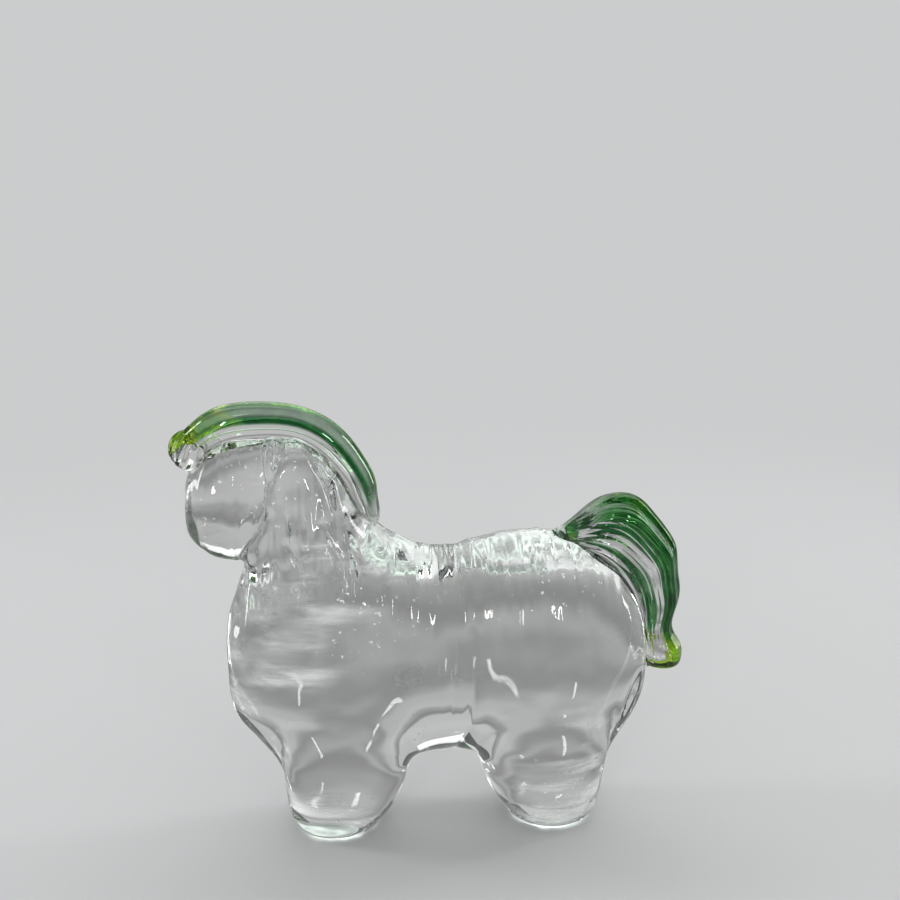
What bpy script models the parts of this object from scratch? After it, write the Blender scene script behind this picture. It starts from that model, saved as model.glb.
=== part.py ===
"""Solid glass horse figurine, worked hot from separate gathers of clear and green glass.

The horse stands on +Z, faces -X, and is mirrored about the plane Y = 0. The origin is on the
ground, in the middle of its length. Sizes are in millimetres and are turned into metres
where the meshes are made.
"""
import math

import bmesh
import bpy
from mathutils import Vector
from mathutils.bvhtree import BVHTree

MM = 0.001
SEAT_GAP = 0.3
OUTSIDE_REACH = 200.0

# Barrel: heights of the back line and belly, ends of the barrel, widths
WITHERS_HEIGHT = 77.0
WITHERS_X = -10.7
BACK_HEIGHT = 72.8
LOIN_HEIGHT = 77.0
CROUP_HEIGHT = 79.0
THIGH_HEIGHT = 71.7
BELLY_HEIGHT = 21.0
CHEST_X = -51.6
CHEST_TOP_HEIGHT = 60.0
CHEST_LOW_HEIGHT = 33.0
SHOULDER_HEIGHT = 69.8
RUMP_X = 52.0
RUMP_TOP_HEIGHT = 57.0
RUMP_LOW_HEIGHT = 33.0
END_FACE_WIDTH = 21.5
CHEST_WIDTH = 38.0
WAIST_WIDTH = 37.0
HAUNCH_WIDTH = 41.0
THIGH_WIDTH = 37.0

# Legs: one broad block in front and one behind, ground flat below
FRONT_LEG_X = -23.4
REAR_LEG_X = 27.1
FRONT_LEG_LENGTH = 31.4
REAR_LEG_LENGTH = 32.3
LEG_WIDTH = 27.0
LEG_WAIST_HEIGHT = 12.0
FRONT_FOOT_X = -25.8
REAR_FOOT_X = 29.3
FOOT_LENGTH = 24.5
FOOT_WIDTH = 24.0
FOOT_EDGE_HEIGHT = 2.4
FOOT_FLAT_LENGTH = 19.5
FOOT_FLAT_WIDTH = 18.0

# Neck: leans forward from the withers to the poll
THROAT_X = -46.5
THROAT_HEIGHT = 74.0
NECK_FRONT_X = -43.5
NECK_REAR_X = -18.8
NECK_REAR_HEIGHT = 84.5
NECK_BASE_WIDTH = 27.0
CREST_X = -22.8
CREST_HEIGHT = 94.5
NECK_WIDTH = 23.0
POLL_X = -29.0
POLL_REAR_HEIGHT = 102.0
POLL_HEIGHT = 105.0
POLL_WIDTH = 20.0

# Head: a rounded block bent down against the neck
HEAD_TOP_HEIGHT = 103.0
CHIN_HEIGHT = 73.0
CHEEK_X = -48.5
CHEEK_WIDTH = 22.0
NOSE_X = -54.4
NOSE_WIDTH = 20.0
NOSE_TOP_DROP = 2.0
NOSE_CHIN_RISE = 1.0
FACE_X = -59.4
FACE_WIDTH = 12.0
FACE_TOP_DROP = 8.0
FACE_CHIN_RISE = 6.0

# Mane: a trail laid along the crest from the forehead to the withers, found by turning
# about a centre in the neck, with the shares of its length where its thickness changes
MANE_CENTRE_X = -36.2
MANE_CENTRE_HEIGHT = 80.0
MANE_FRONT_ANGLE = 134.0
MANE_REAR_ANGLE = 3.0
MANE_THICKNESS = 10.2
MANE_HEIGHT = 9.0
MANE_MIDDLE_THICKNESS = 9.2
MANE_MIDDLE_HEIGHT = 7.6
MANE_LOWER_THICKNESS = 7.8
MANE_LOWER_HEIGHT = 7.1
MANE_REAR_THICKNESS = 5.6
MANE_REAR_HEIGHT = 4.9
MANE_FRONT_TAPER = 0.8
MANE_END_TAPER = 0.4
MANE_FULL_SHARE = 0.1
MANE_MIDDLE_SHARE = 0.45
MANE_LOWER_SHARE = 0.75
MANE_REAR_SHARE = 0.95
OVERLAY_THICKNESS = 0.9
MANE_OVERLAY_HALF_ANGLE = 84.0

# Forelock: a pincered knob at the front end of the mane
KNOB_ANGLE = 134.0
KNOB_LENGTH = 11.6
KNOB_THICKNESS = 11.4
KNOB_WIDTH = 10.5
KNOB_HEIGHT = 8.1
KNOB_GROOVES = 8
KNOB_GROOVE_DEPTH = 0.7

# Tail: a ribbed gather dropped on the croup and drawn down the rump, found by turning about
# a centre in the haunch
TAIL_CENTRE_X = 31.1
TAIL_CENTRE_HEIGHT = 52.0
TAIL_TOP_ANGLE = 96.0
TAIL_TIP_ANGLE = -28.0
TAIL_ROOT_THICKNESS = 8.0
TAIL_ROOT_HEIGHT = 2.0
TAIL_THICKNESS = 18.2
TAIL_HEIGHT = 17.5
TAIL_MIDDLE_THICKNESS = 16.4
TAIL_MIDDLE_HEIGHT = 15.8
TAIL_LOWER_THICKNESS = 13.0
TAIL_LOWER_HEIGHT = 12.0
TAIL_PINCH_THICKNESS = 8.8
TAIL_PINCH_HEIGHT = 7.6
TAIL_TIP_THICKNESS = 11.4
TAIL_TIP_HEIGHT = 10.8
TAIL_END_THICKNESS = 8.8
TAIL_END_HEIGHT = 9.4
TAIL_FULL_SHARE = 0.21
TAIL_MIDDLE_SHARE = 0.45
TAIL_LOWER_SHARE = 0.62
TAIL_PINCH_SHARE = 0.83
TAIL_TIP_SHARE = 0.94
TAIL_RIBS = 7
TAIL_RIB_DEPTH = 1.1
TAIL_OVERLAY_HALF_ANGLE = 78.0

# Mesh density
BODY_LEVELS = 2
MANE_STATIONS = 22
MANE_SIDE_COUNT = 16
TAIL_STATIONS = 24
TAIL_SIDE_COUNT = 42
MANE_OVERLAY_STEPS = 8
TAIL_OVERLAY_STEPS = 14
KNOB_SEGMENTS = 24
KNOB_RINGS = 12

# A closed cage of eight points pulls in to this share of its radius when it is subdivided
CAGE_SHRINK = (4 + 2 * math.cos(math.radians(45))) / 6


def new_collection(name):
    """Return a fresh collection linked to the scene."""
    collection = bpy.data.collections.new(name)
    bpy.context.scene.collection.children.link(collection)
    return collection


def glass(name, colour):
    """Return a clear or coloured glass material."""
    material = bpy.data.materials.new(name)
    material.use_nodes = True
    shader = material.node_tree.nodes["Principled BSDF"]
    shader.inputs["Base Color"].default_value = (*colour, 1)
    shader.inputs["Roughness"].default_value = 0.02
    shader.inputs["Metallic"].default_value = 0
    shader.inputs["IOR"].default_value = 1.52
    shader.inputs["Transmission Weight"].default_value = 1
    return material


def mesh_object(name, bm, material, collection):
    """Turn a bmesh whose coordinates are millimetres into a named object."""
    bmesh.ops.scale(bm, vec=(MM, MM, MM), verts=bm.verts)
    mesh = bpy.data.meshes.new(name)
    bm.to_mesh(mesh)
    bm.free()
    mesh.materials.append(material)
    mesh.shade_smooth()
    obj = bpy.data.objects.new(name, mesh)
    collection.objects.link(obj)
    return obj


# Body cage

def half_ring(bm, start, end, width):
    """Add five cage points round one half of a section, and its middle point.

    start and end are (x, z) points of the outline in the middle plane, and width is the
    section's full width across Y.
    """
    middle = (Vector(start) + Vector(end)) / 2
    reach = (Vector(start) - middle) / CAGE_SHRINK
    half_width = width / 2 / CAGE_SHRINK
    ring = []
    for step in range(5):
        angle = math.radians(45 * step)
        place = middle + reach * math.cos(angle)
        across = 0 if step in (0, 4) else -half_width * math.sin(angle)
        ring.append(bm.verts.new((place.x, across, place.y)))
    ring.append(bm.verts.new((middle.x, 0, middle.y)))
    return ring


def skin(bm, rings, skipped=()):
    """Join successive half rings with quads, leaving out the skipped (ring, step) places."""
    for row, (near, far) in enumerate(zip(rings, rings[1:])):
        for step in range(4):
            if (row, step) not in skipped:
                bm.faces.new((near[step], near[step + 1], far[step + 1], far[step]))


def cap(bm, ring, rise):
    """Close a half ring with two quads round its middle point, which may rise above it."""
    ring[5].co.z += rise
    bm.faces.new((ring[0], ring[1], ring[2], ring[5]))
    bm.faces.new((ring[5], ring[2], ring[3], ring[4]))


def barrel_rings(bm):
    """Sections of the barrel from chest to rump, each from its top to its underside."""
    chest = FRONT_LEG_X - FRONT_LEG_LENGTH / 2
    elbow = FRONT_LEG_X + FRONT_LEG_LENGTH / 2
    stifle = REAR_LEG_X - REAR_LEG_LENGTH / 2
    thigh = REAR_LEG_X + REAR_LEG_LENGTH / 2
    waist = (elbow + stifle) / 2
    return [
        half_ring(bm, (CHEST_X, CHEST_TOP_HEIGHT), (CHEST_X, CHEST_LOW_HEIGHT), END_FACE_WIDTH),
        half_ring(bm, (THROAT_X, SHOULDER_HEIGHT), (chest, BELLY_HEIGHT), CHEST_WIDTH),
        half_ring(bm, (FRONT_LEG_X, WITHERS_HEIGHT), (FRONT_LEG_X, BELLY_HEIGHT), CHEST_WIDTH),
        half_ring(bm, (WITHERS_X, WITHERS_HEIGHT), (elbow, BELLY_HEIGHT), CHEST_WIDTH),
        half_ring(bm, (waist, BACK_HEIGHT), (waist, BELLY_HEIGHT), WAIST_WIDTH),
        half_ring(bm, (stifle, LOIN_HEIGHT), (stifle, BELLY_HEIGHT), HAUNCH_WIDTH),
        half_ring(bm, (REAR_LEG_X, CROUP_HEIGHT), (REAR_LEG_X, BELLY_HEIGHT), HAUNCH_WIDTH),
        half_ring(bm, (thigh, THIGH_HEIGHT), (thigh, BELLY_HEIGHT), THIGH_WIDTH),
        half_ring(bm, (RUMP_X, RUMP_TOP_HEIGHT), (RUMP_X, RUMP_LOW_HEIGHT), END_FACE_WIDTH),
    ]


def leg(bm, base, leg_x, length, foot_x, crease):
    """Draw one leg block down from the barrel to its ground flat."""
    def section(height, middle, size, width):
        return half_ring(bm, (middle - size / 2, height), (middle + size / 2, height), width)

    waist = section(LEG_WAIST_HEIGHT, leg_x, length, LEG_WIDTH)
    edge = section(FOOT_EDGE_HEIGHT, foot_x, FOOT_LENGTH, FOOT_WIDTH)
    flat = section(0, foot_x, FOOT_FLAT_LENGTH, FOOT_FLAT_WIDTH)
    skin(bm, [base, waist, edge, flat])
    cap(bm, flat, 0)
    for first, second in zip(flat[:4], flat[1:5]):
        bm.edges.get((first, second))[crease] = 1


def neck_and_head(bm, base):
    """Raise the neck from the withers and bring the head out of its front."""
    middle_height = (THROAT_HEIGHT + HEAD_TOP_HEIGHT) / 2
    low = half_ring(bm, (THROAT_X, THROAT_HEIGHT), (NECK_REAR_X, NECK_REAR_HEIGHT), NECK_BASE_WIDTH)
    middle = half_ring(bm, (NECK_FRONT_X, middle_height), (CREST_X, CREST_HEIGHT), NECK_WIDTH)
    poll = half_ring(bm, (NECK_FRONT_X, HEAD_TOP_HEIGHT), (POLL_X, POLL_REAR_HEIGHT), POLL_WIDTH)
    skin(bm, [base, low, middle, poll], skipped={(1, 0), (2, 0)})
    cap(bm, poll, POLL_HEIGHT - (HEAD_TOP_HEIGHT + POLL_REAR_HEIGHT) / 2)

    nose_low = CHIN_HEIGHT + NOSE_CHIN_RISE
    nose_top = HEAD_TOP_HEIGHT - NOSE_TOP_DROP
    face_low = CHIN_HEIGHT + FACE_CHIN_RISE
    face_top = HEAD_TOP_HEIGHT - FACE_TOP_DROP
    root = [low[0], low[1], middle[1], poll[1], poll[0]]
    cheek = half_ring(bm, (CHEEK_X, CHIN_HEIGHT), (CHEEK_X, HEAD_TOP_HEIGHT), CHEEK_WIDTH)
    nose = half_ring(bm, (NOSE_X, nose_low), (NOSE_X, nose_top), NOSE_WIDTH)
    face = half_ring(bm, (FACE_X, face_low), (FACE_X, face_top), FACE_WIDTH)
    skin(bm, [root, cheek, nose, face])
    cap(bm, face, 0)


def make_body(material, collection):
    """Barrel, legs, neck and head, all one gather of clear glass."""
    bm = bmesh.new()
    crease = bm.edges.layers.float.new("crease_edge")
    barrel = barrel_rings(bm)
    neck_gap = {(1, 0), (2, 0)}
    leg_gaps = {(1, 3), (2, 3), (5, 3), (6, 3)}
    skin(bm, barrel, skipped=neck_gap | leg_gaps)
    cap(bm, barrel[0], 0)
    cap(bm, barrel[-1], 0)

    front_base = [barrel[1][4], barrel[1][3], barrel[2][3], barrel[3][3], barrel[3][4]]
    rear_base = [barrel[5][4], barrel[5][3], barrel[6][3], barrel[7][3], barrel[7][4]]
    neck_base = [barrel[1][0], barrel[1][1], barrel[2][1], barrel[3][1], barrel[3][0]]
    leg(bm, front_base, FRONT_LEG_X, FRONT_LEG_LENGTH, FRONT_FOOT_X, crease)
    leg(bm, rear_base, REAR_LEG_X, REAR_LEG_LENGTH, REAR_FOOT_X, crease)
    neck_and_head(bm, neck_base)

    bmesh.ops.delete(bm, geom=[v for v in bm.verts if not v.link_faces], context="VERTS")
    bmesh.ops.recalc_face_normals(bm, faces=bm.faces)
    side = barrel[4][2]
    side.normal_update()
    if side.normal.y > 0:
        bmesh.ops.reverse_faces(bm, faces=bm.faces)

    body = mesh_object("clear_body", bm, material, collection)
    mirror = body.modifiers.new("Mirror", "MIRROR")
    mirror.use_axis = (False, True, False)
    mirror.use_clip = True
    mirror.merge_threshold = 0.0001
    smooth = body.modifiers.new("Subdivision", "SUBSURF")
    smooth.levels = BODY_LEVELS
    smooth.render_levels = BODY_LEVELS
    return body


def seat_cutter(source, collection):
    """Return a copy of a piece that is larger by the seat gap, to cut its neighbours with."""
    depsgraph = bpy.context.evaluated_depsgraph_get()
    mesh = bpy.data.meshes.new_from_object(source.evaluated_get(depsgraph))
    cutter = bpy.data.objects.new(source.name + "_seat", mesh)
    collection.objects.link(cutter)
    swell = cutter.modifiers.new("Swell", "DISPLACE")
    swell.strength = SEAT_GAP * MM
    swell.mid_level = 0
    cutter.hide_render = True
    cutter.display_type = "WIRE"
    return cutter


def cut(obj, *cutters):
    """Cut a piece back to the seats of the pieces that carry it."""
    for cutter in cutters:
        boolean = obj.modifiers.new("Seat on " + cutter.name, "BOOLEAN")
        boolean.operation = "DIFFERENCE"
        boolean.solver = "EXACT"
        boolean.object = cutter


# Trails laid on the body

def surface_tree(obj):
    """Return a search tree of a piece's evaluated surface."""
    return BVHTree.FromObject(obj, bpy.context.evaluated_depsgraph_get())


def seat_point(tree, pivot, angle):
    """Return the surface point and outward normal met from a pivot at an angle above +X."""
    turn = math.radians(angle)
    direction = Vector((math.cos(turn), 0, math.sin(turn)))
    start = (Vector(pivot) + direction * OUTSIDE_REACH) * MM
    point, normal, _, _ = tree.ray_cast(start, -direction)
    normal.y = 0
    return point / MM, normal.normalized()


def smooth_stop(stops, share):
    """Return the thickness and height at a share of a trail, soft between its stops."""
    for (low, *start), (high, *end) in zip(stops, stops[1:]):
        if share <= high:
            part = (1 - math.cos(math.pi * (share - low) / (high - low))) / 2
            return [a + (b - a) * part for a, b in zip(start, end)]
    return stops[-1][1:]


def trail_route(tree, pivot, angles, stations, stops):
    """Centres, outward normals and radii of a trail that lies along the body's outline.

    Its height is how far its outer side stands above the body, so an end whose height is
    less than its thickness sinks into its seat.
    """
    route = []
    for station in range(stations + 1):
        share = station / stations
        angle = angles[0] + (angles[1] - angles[0]) * share
        point, outward = seat_point(tree, pivot, angle)
        thickness, height = smooth_stop(stops, share)
        route.append((point + outward * (height - thickness / 2), outward, thickness / 2))
    return relax(route, 2)


def relax(route, rounds):
    """Even out the steps of a route that was read from a faceted surface."""
    for _ in range(rounds):
        centres = [step[0] for step in route]
        outwards = [step[1] for step in route]
        for index in range(1, len(route) - 1):
            centre = (centres[index - 1] + centres[index] * 2 + centres[index + 1]) / 4
            outward = (outwards[index - 1] + outwards[index] * 2 + outwards[index + 1]).normalized()
            route[index] = (centre, outward, route[index][2])
    return route


def ring_at(bm, centre, outward, outline):
    """Add one section ring whose outline is a list of (across, out) offsets."""
    across = Vector((0, 1, 0))
    return [bm.verts.new(centre + across * a + outward * o) for a, o in outline]


def loft(bm, rings):
    """Join section rings into one closed body."""
    for near, far in zip(rings, rings[1:]):
        count = len(near)
        for index in range(count):
            after = (index + 1) % count
            bm.faces.new((near[index], near[after], far[after], far[index]))
    bm.faces.new(rings[0])
    bm.faces.new(rings[-1])
    bmesh.ops.recalc_face_normals(bm, faces=bm.faces)


def ribbed(radius, turn, ribs, rib_depth):
    """Radius at one turn of a section whose ribs stand rib_depth above its grooves."""
    return radius - rib_depth * (1 - math.cos(ribs * turn)) / 2


def rod_outline(radius, points, ribs, rib_depth):
    """Outline of a round or ribbed rod, as (across, out) offsets."""
    outline = []
    for index in range(points):
        turn = 2 * math.pi * index / points
        size = ribbed(radius, turn, ribs, rib_depth)
        outline.append((size * math.sin(turn), size * math.cos(turn)))
    return outline


def sleeve_outline(radius, half_angle, steps, ribs, rib_depth):
    """Outline of a coloured layer over the outer side of a rod."""
    outline = []
    for side, inset in ((1, 0), (-1, OVERLAY_THICKNESS)):
        for index in range(steps + 1):
            turn = math.radians(half_angle) * (2 * index / steps - 1) * side
            size = ribbed(radius - inset, turn, ribs, rib_depth)
            outline.append((size * math.sin(turn), size * math.cos(turn)))
    return outline


def loft_trail(name, route, ribs, outline_at, material, collection):
    """Loft a trail along its route. ribs is their count and their depth at the fullest part."""
    bm = bmesh.new()
    rings = []
    fullest = max(radius for _, _, radius in route)
    for centre, outward, radius in route:
        outline = outline_at(radius, ribs[0], ribs[1] * radius / fullest)
        rings.append(ring_at(bm, centre, outward, outline))
    loft(bm, rings)
    return mesh_object(name, bm, material, collection)


def make_rod(name, route, ribs, points, material, collection):
    """Clear core of a trail, inside the radius that its overlay takes."""
    def outline_at(radius, rib_count, rib_depth):
        return rod_outline(radius - OVERLAY_THICKNESS - SEAT_GAP, points, rib_count, rib_depth)

    return loft_trail(name, route, ribs, outline_at, material, collection)


def make_sleeve(name, route, ribs, half_angle, steps, material, collection):
    """Coloured layer over the outer side of a trail."""
    def outline_at(radius, rib_count, rib_depth):
        return sleeve_outline(radius, half_angle, steps, rib_count, rib_depth)

    return loft_trail(name, route, ribs, outline_at, material, collection)


def mane_stops():
    """Share of the mane's length, thickness and height over the neck, from front to rear."""
    front = MANE_FRONT_TAPER
    return [
        (0, MANE_THICKNESS * front, MANE_HEIGHT * front),
        (MANE_FULL_SHARE, MANE_THICKNESS, MANE_HEIGHT),
        (MANE_MIDDLE_SHARE, MANE_MIDDLE_THICKNESS, MANE_MIDDLE_HEIGHT),
        (MANE_LOWER_SHARE, MANE_LOWER_THICKNESS, MANE_LOWER_HEIGHT),
        (MANE_REAR_SHARE, MANE_REAR_THICKNESS, MANE_REAR_HEIGHT),
        (1, MANE_REAR_THICKNESS * front, MANE_REAR_HEIGHT * MANE_END_TAPER),
    ]


def tail_stops():
    """Share of the tail's length, thickness and height over the rump, from root to tip."""
    return [
        (0, TAIL_ROOT_THICKNESS, TAIL_ROOT_HEIGHT),
        (TAIL_FULL_SHARE, TAIL_THICKNESS, TAIL_HEIGHT),
        (TAIL_MIDDLE_SHARE, TAIL_MIDDLE_THICKNESS, TAIL_MIDDLE_HEIGHT),
        (TAIL_LOWER_SHARE, TAIL_LOWER_THICKNESS, TAIL_LOWER_HEIGHT),
        (TAIL_PINCH_SHARE, TAIL_PINCH_THICKNESS, TAIL_PINCH_HEIGHT),
        (TAIL_TIP_SHARE, TAIL_TIP_THICKNESS, TAIL_TIP_HEIGHT),
        (1, TAIL_END_THICKNESS, TAIL_END_HEIGHT),
    ]


def make_knob(tree, pivot, material, collection):
    """Pincered knob on the forehead, with grooves round it."""
    point, outward = seat_point(tree, pivot, KNOB_ANGLE)
    bm = bmesh.new()
    bmesh.ops.create_uvsphere(bm, u_segments=KNOB_SEGMENTS, v_segments=KNOB_RINGS, radius=1)
    for vert in bm.verts:
        turn = math.atan2(vert.co.y, vert.co.x)
        size = ribbed(1, turn, KNOB_GROOVES, KNOB_GROOVE_DEPTH / (KNOB_THICKNESS / 2))
        vert.co.x *= size
        vert.co.y *= size
    size = Vector((KNOB_THICKNESS, KNOB_WIDTH, KNOB_LENGTH)) / 2
    bmesh.ops.scale(bm, vec=size, verts=bm.verts)
    along = Vector((outward.z, 0, -outward.x))
    turn = Vector((0, 0, 1)).rotation_difference(along)
    bmesh.ops.rotate(bm, matrix=turn.to_matrix(), verts=bm.verts)
    centre = point + outward * (KNOB_HEIGHT - KNOB_THICKNESS / 2)
    bmesh.ops.translate(bm, vec=centre, verts=bm.verts)
    return mesh_object("forelock_knob", bm, material, collection)


def main():
    """Build the figurine."""
    for obj in list(bpy.data.objects):
        bpy.data.objects.remove(obj, do_unlink=True)
    parts = new_collection("glass_horse_figurine")
    cutters = new_collection("seat_cutters")
    clear = (0.95, 0.97, 0.96)
    green = (0.08, 0.42, 0.10)

    body = make_body(glass("clear body glass", clear), parts)
    tree = surface_tree(body)
    body_seat = seat_cutter(body, cutters)
    neck_pivot = (MANE_CENTRE_X, 0, MANE_CENTRE_HEIGHT)
    rump_pivot = (TAIL_CENTRE_X, 0, TAIL_CENTRE_HEIGHT)

    knob = make_knob(tree, neck_pivot, glass("clear knob glass", clear), parts)
    cut(knob, body_seat)
    knob_seat = seat_cutter(knob, cutters)

    route = trail_route(tree, neck_pivot, (MANE_FRONT_ANGLE, MANE_REAR_ANGLE), MANE_STATIONS,
                        mane_stops())
    mane = make_rod("mane_trail", route, (0, 0), MANE_SIDE_COUNT,
                    glass("clear mane glass", clear), parts)
    mane_green = make_sleeve("mane_green_overlay", route, (0, 0), MANE_OVERLAY_HALF_ANGLE,
                             MANE_OVERLAY_STEPS, glass("green mane glass", green), parts)
    cut(mane, body_seat, knob_seat)
    cut(mane_green, body_seat, knob_seat)

    route = trail_route(tree, rump_pivot, (TAIL_TOP_ANGLE, TAIL_TIP_ANGLE), TAIL_STATIONS,
                        tail_stops())
    ribs = (TAIL_RIBS, TAIL_RIB_DEPTH)
    tail = make_rod("tail_trail", route, ribs, TAIL_SIDE_COUNT,
                    glass("clear tail glass", clear), parts)
    tail_green = make_sleeve("tail_green_overlay", route, ribs, TAIL_OVERLAY_HALF_ANGLE,
                             TAIL_OVERLAY_STEPS, glass("green tail glass", green), parts)
    cut(tail, body_seat)
    cut(tail_green, body_seat)


main()
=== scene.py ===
"""Looks of the glass horse figurine: fire polished clear glass with green glass trailed over it.

Sizes are in metres. +Z is up and the horse faces -X, as in its solids.
"""

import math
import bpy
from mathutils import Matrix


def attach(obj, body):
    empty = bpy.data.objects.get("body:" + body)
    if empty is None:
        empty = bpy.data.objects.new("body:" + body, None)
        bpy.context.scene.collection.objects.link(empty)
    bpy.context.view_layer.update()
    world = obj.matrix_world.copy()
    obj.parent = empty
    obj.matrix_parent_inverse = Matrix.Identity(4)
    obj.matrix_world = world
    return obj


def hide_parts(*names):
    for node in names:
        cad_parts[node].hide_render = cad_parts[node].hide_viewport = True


bl_info = {
    "name": "Glass horse figurine",
    "version": (1, 0, 0),
    "blender": (4, 5, 0),
    "location": "3D View > Sidebar > Glass Horse",
    "description": "Dresses the glass horse figurine in clear and green glass",
    "category": "Object",
}

from collections import namedtuple

import bmesh
import bpy
from bpy.props import FloatProperty, FloatVectorProperty, IntProperty, PointerProperty
from mathutils import Vector, noise
from mathutils.bvhtree import BVHTree

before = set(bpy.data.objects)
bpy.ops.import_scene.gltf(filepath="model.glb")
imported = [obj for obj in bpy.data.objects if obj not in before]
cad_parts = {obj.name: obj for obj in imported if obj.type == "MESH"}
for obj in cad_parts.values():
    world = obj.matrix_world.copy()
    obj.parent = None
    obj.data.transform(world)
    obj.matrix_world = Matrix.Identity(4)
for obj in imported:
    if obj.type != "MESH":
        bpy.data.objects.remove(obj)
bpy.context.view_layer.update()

MM = 0.001
WELD = 0.00001
SHARP_ANGLE = math.radians(40)
ACROSS = Vector((0, 1, 0))

# The middle of the horse, and pivots inside its neck and haunch that the trails turn about
MIDDLE = Vector((0, 0, 50)) * MM
NECK_PIVOT = Vector((-36.2, 0, 80)) * MM
RUMP_PIVOT = Vector((31.1, 0, 52)) * MM

# Lines that folds are pressed along on both sides, as X and Z in millimetres
CHEEK_LINE = ((-41.1, 103), (-40.4, 96), (-40.8, 90), (-41.4, 85.6), (-43.8, 81.7), (-46.5, 77.6),
              (-48.2, 74))
POLL_LINE = ((-35.5, 103.5), (-37, 99.5), (-40.2, 94))
THROAT_LINE = ((-35.4, 82), (-34.4, 78.8), (-33.1, 74), (-32.4, 68.5))
SHOULDER_LINES = (((-27.6, 86), (-24.9, 80.4), (-23.2, 76.4), (-22.4, 72.5), (-23.8, 68.5)),
                  ((-22.4, 83.5), (-19.9, 77.5), (-18.6, 73), (-19.6, 68)))
HAUNCH_LINE = ((49.4, 45.5), (47.4, 42.3), (46, 39), (43.5, 26.8), (40.8, 15.9))
BELLY_LINE = ((3.6, 22), (5.6, 30), (6.8, 40), (7.2, 50), (6.9, 60))
NECK_LINE = ((-30.5, 102.5), (-29.5, 100.8), (-27.7, 96.9), (-25.8, 92.3), (-23.6, 83.8), (-23, 79))

Station = namedtuple("Station", "share centre outward radius")
Ribs = namedtuple("Ribs", "count groove")
Softbox = namedtuple("Softbox", "place size power")

SOFTBOXES = {
    "key_softbox": Softbox((0.12, 0.45, 0.62), (1.10, 0.85), 2.6),
    "head_side_softbox": Softbox((-0.55, 0.12, 0.22), (0.10, 0.45), 1.1),
    "tail_side_softbox": Softbox((0.60, 0.18, 0.22), (0.10, 0.45), 1.1),
    "front_softbox": Softbox((-0.20, -0.55, 0.30), (0.04, 0.13), 0.4),
    "glint_softbox": Softbox((0.20, -0.52, 0.20), (0.03, 0.12), 0.26),
}

# Painted light and shade of the sheet as the glass shows it: rings of painted shade and a bright
# ring of painted light round the feet, at distances from the horse in metres
PAINTED_GLASS_TONES = ((0, 0.35), (0.016, 0.40), (0.027, 1), (0.038, 0.45), (0.055, 0.34), (0.082, 0.26),
               (0.100, 0.38), (0.125, 0.28), (0.17, 0.46), (0.24, 0.50),
               (0.32, 0.34), (0.45, 0.24), (0.60, 0.34), (0.75, 0.52))


def number(name, default, description, **more):
    """A number, as a property."""
    return FloatProperty(name=name, description=description, default=default, **more)


def length(name, default, description):
    """A size in metres, as a property."""
    return number(name, default, description, unit="LENGTH")


def pair(name, first, second, description):
    """Two sizes given in millimetres, as one property in metres."""
    return FloatVectorProperty(name=name, description=description, unit="LENGTH", size=2,
                               default=(first * MM, second * MM))


def angle(name, degrees, description):
    """An angle given in degrees, as a property."""
    return number(name, math.radians(degrees), description, unit="ROTATION")


def share(name, default, description):
    """A number from 0 to 1, as a property."""
    return number(name, default, description, min=0, max=1)


def colour(name, default, description):
    """A linear colour, as a property."""
    return FloatVectorProperty(name=name, description=description, default=default,
                               subtype="COLOR", size=3, min=0, max=1)


# Settings

class HorseBodySettings(bpy.types.PropertyGroup):
    """Sizes of the clear body's finish."""
    cheek: pair("Cheek fold", 1.3, 2.4, "Depth and half width of the fold behind the cheek")
    poll: pair("Poll fold", 0.9, 2.4, "Depth and half width of the fold behind the poll")
    haunch: pair("Haunch crease", 0.9, 3.2, "Depth and half width of the crease behind the leg")
    belly: pair("Belly fold", 0.8, 3.6, "Depth and half width of the fold above the arch")
    neck: pair("Neck line", 0.8, 2.0, "Depth and half width of the line along the neck")
    pleats: pair("Pleats", 1.1, 2.0, "Depth and half width of pleats at the root of the neck")
    waves: pair("Waves", 0.36, 13, "Height and length of waves in the hot worked surface")
    flutes: pair("Flutes", 0.8, 5.5, "Height and spacing of the flutes down from the back")


class HorseManeSettings(bpy.types.PropertyGroup):
    """Sizes of the mane trail and its green skin."""
    full: pair("Fullest", 9.4, 9.0, "Thickness and height above the crest at its fullest")
    middle: pair("Middle", 8.6, 7.6, "Thickness and height over the poll")
    lower: pair("Lower", 7.6, 7.1, "Thickness and height down the neck")
    rear: pair("Rear", 5.6, 4.9, "Thickness and height at the withers")
    front_angle: angle("Front angle", 134, "Where the trail starts, turning about the neck")
    rear_angle: angle("Rear angle", 3, "Where the trail ends, turning about the neck")
    skin_half_angle: angle("Skin half angle", 84, "How far the green reaches down each side")
    foot_angle: angle("Foot angle", 122, "Where the fused foot starts, from the outer side")


class HorseKnobSettings(bpy.types.PropertyGroup):
    """Sizes of the forelock knob."""
    length_along: length("Length", 9.6 * MM, "Length along the forehead")
    thickness: length("Thickness", 11.2 * MM, "Thickness square to the forehead")
    width: length("Width", 10.3 * MM, "Width across the forehead")
    height: length("Height", 8.1 * MM, "How far the knob stands above the forehead")
    shift: length("Shift", 1.2 * MM, "How far it sits towards the muzzle")
    grooves: IntProperty(name="Grooves", description="Pincered grooves round it", default=8)
    groove_depth: length("Groove depth", 1.1 * MM, "Depth of each groove")
    twist: angle("Twist", 55, "How far the grooves slant from end to end")
    bead: length("Bead", 4.8 * MM, "Diameter of the bead between knob and poll")
    bead_shift: length("Bead shift", 3.9 * MM, "How far the bead sits towards the poll")
    bead_lift: share("Bead lift", 0.1, "How far the bead stands up, as a share of its diameter")
    cap_half_angle: angle("Cap half angle", 58, "How far the green cap reaches round the knob")


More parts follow.
